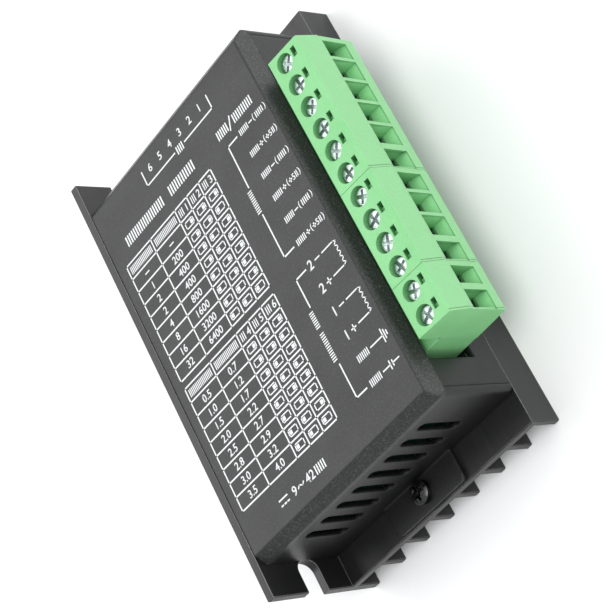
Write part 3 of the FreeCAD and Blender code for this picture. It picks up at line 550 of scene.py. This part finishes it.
switches = Print("legend_switches")
switches.line((BRACKET_RIGHT, 36.4), (BRACKET_RIGHT, BRACKET_LINE), (4.4, BRACKET_LINE))
switches.line((0.8, BRACKET_LINE), (BRACKET_LEFT, BRACKET_LINE), (BRACKET_LEFT, 36.6))
switches.strip(2.6, 33.3, 2.4, 1.7, pitch=WORD_PITCH)
for switch in range(6):
    switches.number(str(switch + 1), FIRST_SWITCH - SWITCH_PITCH * switch, SWITCH_LINE, 1.75)
switches.done()

# the terminals' captions, each group with a bracket and a word that runs down the cover
WAY_TOP = 24.7          # the caption of the terminal nearest the switches
WAY_PITCH = 5.08
CAPTION = 16.9          # where the captions start
SIGNAL_HEIGHT = 1.25
SIGNAL_WORD = 12.75
POWER_WORD = 12.55
POWER_BRACKET = 13.0
SYMBOL_LEAD = 20.9      # where the leads of the earth and cell signs start


def way(number):
    """Where a terminal's caption is along the cover, counted from 0 at the switch end."""
    return WAY_TOP - WAY_PITCH * number


signals = Print("legend_signals")
signals.line((16.1, way(0)), (13.2, way(0)), (13.1, 15.3))
signals.line((13.1, 8.9), (13.05, way(5)), (16.0, way(5)))
signals.strip(SIGNAL_WORD, 12.1, 5.2, 1.15, upright=False)
for number in range(6):
    plus = number % 2 == 1
    signals.strip(CAPTION + 1.5, way(number), 2.8, SIGNAL_HEIGHT)
    signals.sign(plus, CAPTION + 3.7, way(number), 0.8)
    signals.number("(", CAPTION + 4.8, way(number), SIGNAL_HEIGHT)
    if plus:
        signals.sign(plus, CAPTION + 5.65, way(number), 0.7)
        signals.number("5", CAPTION + 6.6, way(number), SIGNAL_HEIGHT)
        signals.strip(CAPTION + 7.5, way(number), 0.8, SIGNAL_HEIGHT, pitch=0.4)
    else:
        signals.strip(CAPTION + 6.55, way(number), 2.5, SIGNAL_HEIGHT)
    signals.number(")", CAPTION + 8.3, way(number), SIGNAL_HEIGHT)
signals.done()


def winding(legend, top, bottom):
    """A motor winding between two terminals, drawn as a zigzag."""
    lead, start, depth, turns = 21.1, 24.3, 0.75, 9
    legend.line((lead, top), (start, top), width=THIN)
    points = [(start, top)]
    for turn in range(turns):
        y = top + (bottom - top) * (turn + 0.5) / turns
        points.append((start + (depth if turn % 2 == 0 else 0.0), y))
    points.append((start, bottom))
    legend.line(*points, width=0.22)
    legend.line((start, bottom), (lead, bottom), width=THIN)


power = Print("legend_power")
power.line((16.0, way(6)), (POWER_BRACKET, way(6)), (POWER_BRACKET, -11.7))
power.line((POWER_BRACKET, -24.1), (POWER_BRACKET, way(11)), (15.9, way(11)))
power.strip(POWER_WORD, -14.3, 3.6, 1.15, upright=False)
power.strip(POWER_WORD, -20.1, 6.2, 1.15, upright=False)
for number in range(6, 10):
    power.number("2" if number < 8 else "1", CAPTION + 0.6, way(number), 2.0)
    power.sign(number % 2 == 1, CAPTION + 2.7, way(number))
winding(power, way(6), way(7))
winding(power, way(8), way(9))
for number in (10, 11):
    power.strip(CAPTION + 1.7, way(number), 3.3, 1.4)

# the earth sign, and the cell sign after it, each at the end of a lead
power.line((SYMBOL_LEAD, way(10)), (24.3, way(10)), width=THIN)
for bar, half in enumerate((1.25, 0.8, 0.35)):
    x = 24.4 + 0.55 * bar
    power.line((x, way(10) - half), (x, way(10) + half), width=THIN)
power.line((SYMBOL_LEAD, way(11)), (22.8, way(11)), width=THIN)
for x, half in ((22.9, 0.75), (23.6, 0.5)):
    power.line((x, way(11) - half), (x, way(11) + half), width=THIN)
power.line((23.7, way(11)), (25.3, way(11)), width=THIN)
power.done()

# the supply range: the direct current sign, then two figures with a wave between them
SUPPLY_LINE = -35.7

supply = Print("legend_supply")
supply.line((-14.2, -35.1), (-11.8, -35.1))
for dash in range(3):
    supply.line((-14.1 + 0.95 * dash, -36.2), (-13.7 + 0.95 * dash, -36.2))
supply.number("9", -9.7, SUPPLY_LINE, 1.9)
supply.line((-8.6, -35.9), (-8.15, -35.45), (-7.25, -35.95), (-6.8, -35.5), width=THIN)
supply.number("42", -4.9, SUPPLY_LINE, 1.9)
supply.strip(-1.7, SUPPLY_LINE, 3.2, 1.8, pitch=WORD_PITCH)
supply.done()

# ---------------------------------------------------------------------------------- the studio
FLOOR_HALF = 1.6            # half of its side
FLOOR_GAP = 0.05 * MM       # keeps the floor off the fin tips
WORLD_COLOUR = (0.96, 0.98, 1.0, 1.0)
WORLD_STRENGTH = 0.6


def pale_floor():
    """White paper sweep, with a faint mottle."""
    finish = Finish("pale_floor", specular=0.2)
    mottle = finish.noise(30 * MM, detail=3.0)
    colour = finish.blend(mottle, (0.96, 0.96, 0.96), (0.98, 0.98, 0.98))
    roughness = finish.between(mottle, 0.6, 0.7)
    return finish.done(colour, roughness, finish.bump(mottle, 0.01 * MM))


def floor():
    """The studio's floor, just under the fin tips."""
    shape = bpy.data.meshes.new("floor")
    signs = ((-1, -1), (1, -1), (1, 1), (-1, 1))
    corners = [(FLOOR_HALF * x, FLOOR_HALF * y, -FLOOR_GAP) for x, y in signs]
    shape.from_pydata(corners, [], [(0, 1, 2, 3)])
    shape.materials.append(pale_floor())
    plane = bpy.data.objects.new("floor", shape)
    bpy.context.scene.collection.objects.link(plane)


def softbox(name, azimuth, elevation, distance, width, height, watts):
    """An area light aimed at the module; the azimuth runs from +X towards +Y."""
    light = bpy.data.lights.new(name, "AREA")
    light.shape = "RECTANGLE"
    light.size, light.size_y = width, height
    light.energy = watts
    lamp = bpy.data.objects.new(name, light)
    turn, rise = math.radians(azimuth), math.radians(elevation)
    level = math.cos(rise)
    outwards = Vector((math.cos(turn) * level, math.sin(turn) * level, math.sin(rise)))
    target = Vector((0, 0, cad_box[1][2] / 2))
    lamp.location = target + outwards * distance
    lamp.rotation_euler = outwards.to_track_quat("Z", "Y").to_euler()
    bpy.context.scene.collection.objects.link(lamp)


floor()
softbox("key_softbox", 143, 46, distance=0.9, width=0.75, height=0.6, watts=3.15)
softbox("front_softbox", -34, 59, distance=1.1, width=0.8, height=0.6, watts=6.8)
softbox("side_panel", 26, 11, distance=1.1, width=1.05, height=0.36, watts=3.4)

world = bpy.data.worlds.new("studio")
world.use_nodes = True
background = world.node_tree.nodes["Background"]
background.inputs["Color"].default_value = WORLD_COLOUR
background.inputs["Strength"].default_value = WORLD_STRENGTH
bpy.context.scene.world = world
bpy.context.scene.view_settings.view_transform = "Standard"

# ---------------------------------------------------------------------------------- the camera
# its place is from the floor's point under the heat sink's middle, and it looks against "back"
CAMERA_PLACE = Vector((223.05, -167.95, 283.73)) * MM
CAMERA_BACK = Vector((0.57480, -0.42770, 0.69762))
CAMERA_RIGHT = Vector((0.55624, -0.42107, -0.71645))
SENSOR = 36.0
LENS = 121.8
NEAREST = 0.01

camera_data = bpy.data.cameras.new("camera")
camera_data.sensor_width = SENSOR
camera_data.lens = LENS
camera_data.clip_start = NEAREST
camera = bpy.data.objects.new("camera", camera_data)
back = CAMERA_BACK.normalized()
up = back.cross(CAMERA_RIGHT).normalized()
right = up.cross(back)
turned = Matrix((right, up, back)).transposed().to_4x4()
stand = Vector((SINK_MIDDLE.x, SINK_MIDDLE.y, 0)) + CAMERA_PLACE
camera.matrix_world = Matrix.Translation(stand) @ turned
bpy.context.scene.collection.objects.link(camera)
bpy.context.scene.camera = camera
